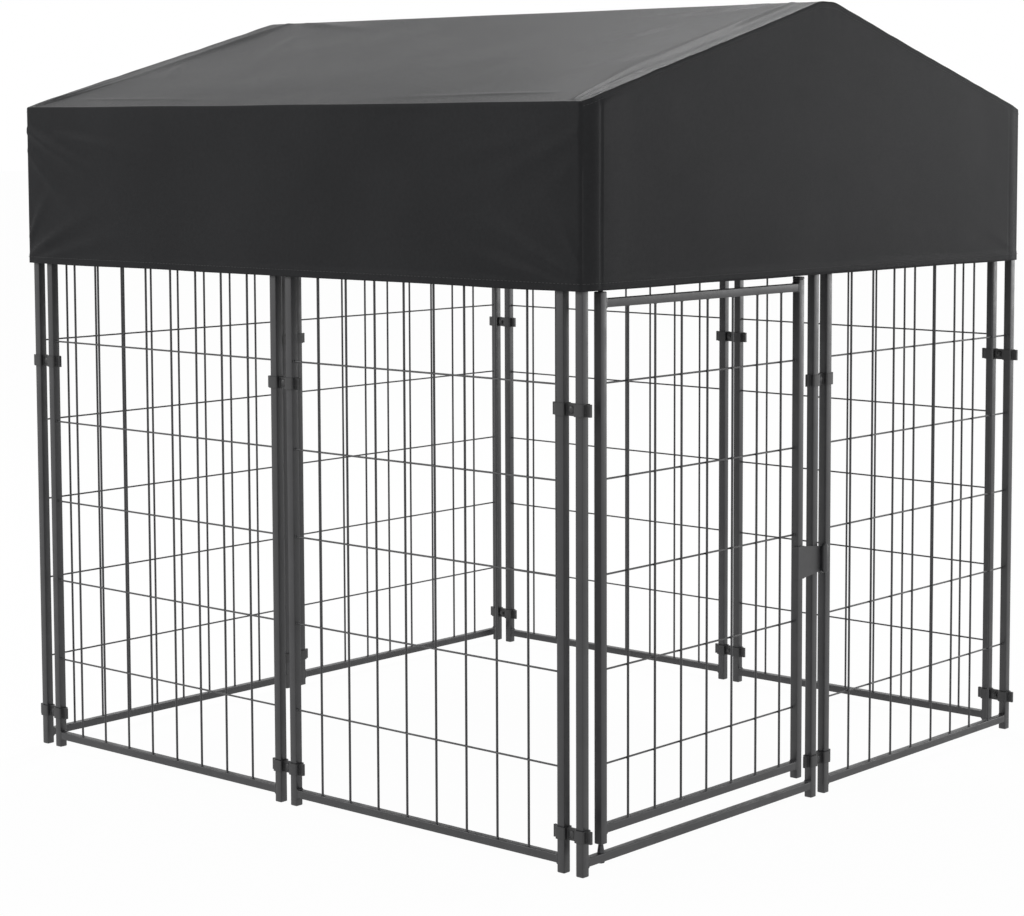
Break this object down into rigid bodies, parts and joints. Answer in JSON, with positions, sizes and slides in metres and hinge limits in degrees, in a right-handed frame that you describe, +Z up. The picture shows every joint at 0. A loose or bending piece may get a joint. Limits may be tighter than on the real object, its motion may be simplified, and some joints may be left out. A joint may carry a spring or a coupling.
{
  "type": "dog kennel",
  "caption": "Outdoor dog kennel of welded wire panels clamped post to post, with a hinged door, a turning latch and a gabled cloth canopy over a tube roof frame.",
  "frame": {"origin": "on the floor under the middle of the kennel's footprint", "axes": "+Z up; -Y out through the door wall; +X to the right as seen from in front of the door; the ridge of the roof runs along Y"},
  "size_m": [1.2266, 1.3106, 1.3125],
  "materials": {
    "frame_paint": "satin black powder coat",
    "clamp_paint": "satin black powder coat",
    "pin_steel": "blackened steel, lightly oiled",
    "latch_paint": "black paint",
    "cap_plastic": "black moulded plastic",
    "cover_cloth": "coated woven polyester, soft gloss"
  },
  "bodies": {
    "root": {"front_door_panel": "frame_paint", "front_right_panel": "frame_paint", "left_front_panel": "frame_paint", "left_rear_panel": "frame_paint", "right_front_panel": "frame_paint", "right_rear_panel": "frame_paint", "rear_left_panel": "frame_paint", "rear_right_panel": "frame_paint", "hinge_pin_bottom": "pin_steel", "hinge_pin_top": "pin_steel", "front_clamp_low_outer": "clamp_paint", "front_clamp_low_inner": "clamp_paint", "front_clamp_high_outer": "clamp_paint", "front_clamp_high_inner": "clamp_paint", "rear_clamp_low_outer": "clamp_paint", "rear_clamp_low_inner": "clamp_paint", "rear_clamp_high_outer": "clamp_paint", "rear_clamp_high_inner": "clamp_paint", "left_clamp_low_outer": "clamp_paint", "left_clamp_low_inner": "clamp_paint", "left_clamp_high_outer": "clamp_paint", "left_clamp_high_inner": "clamp_paint", "right_clamp_low_outer": "clamp_paint", "right_clamp_low_inner": "clamp_paint", "right_clamp_high_outer": "clamp_paint", "right_clamp_high_inner": "clamp_paint", "front_left_clamp_low_outer": "clamp_paint", "front_left_clamp_low_inner": "clamp_paint", "front_left_clamp_high_outer": "clamp_paint", "front_left_clamp_high_inner": "clamp_paint", "front_right_clamp_low_outer": "clamp_paint", "front_right_clamp_low_inner": "clamp_paint", "front_right_clamp_high_outer": "clamp_paint", "front_right_clamp_high_inner": "clamp_paint", "rear_left_clamp_low_outer": "clamp_paint", "rear_left_clamp_low_inner": "clamp_paint", "rear_left_clamp_high_outer": "clamp_paint", "rear_left_clamp_high_inner": "clamp_paint", "rear_right_clamp_low_outer": "clamp_paint", "rear_right_clamp_low_inner": "clamp_paint", "rear_right_clamp_high_outer": "clamp_paint", "rear_right_clamp_high_inner": "clamp_paint", "front_left_rafter": "frame_paint", "front_right_rafter": "frame_paint", "front_left_elbow": "frame_paint", "front_right_elbow": "frame_paint", "front_apex_fitting": "frame_paint", "rear_left_rafter": "frame_paint", "rear_right_rafter": "frame_paint", "rear_left_elbow": "frame_paint", "rear_right_elbow": "frame_paint", "rear_apex_fitting": "frame_paint", "ridge_tube": "frame_paint", "canopy": "cover_cloth"},
    "door": {"door": "frame_paint", "door_stile_cap": "cap_plastic", "latch_plate": "latch_paint"},
    "latch": {"latch_knob": "latch_paint", "latch_spindle": "pin_steel", "latch_cam": "latch_paint"}
  },
  "joints": [
    {"name": "door_hinge", "type": "hinge", "parent": "root", "child": "door", "pos_m": [-0.558, -0.637, 0.45], "axis": [0, 0, -1], "range_deg": [0, 120]},
    {"name": "latch_turn", "type": "hinge", "parent": "door", "child": "latch", "pos_m": [0, -0.637, 0.4], "axis": [0, 1, 0], "range_deg": [0, 90]}
  ]
}
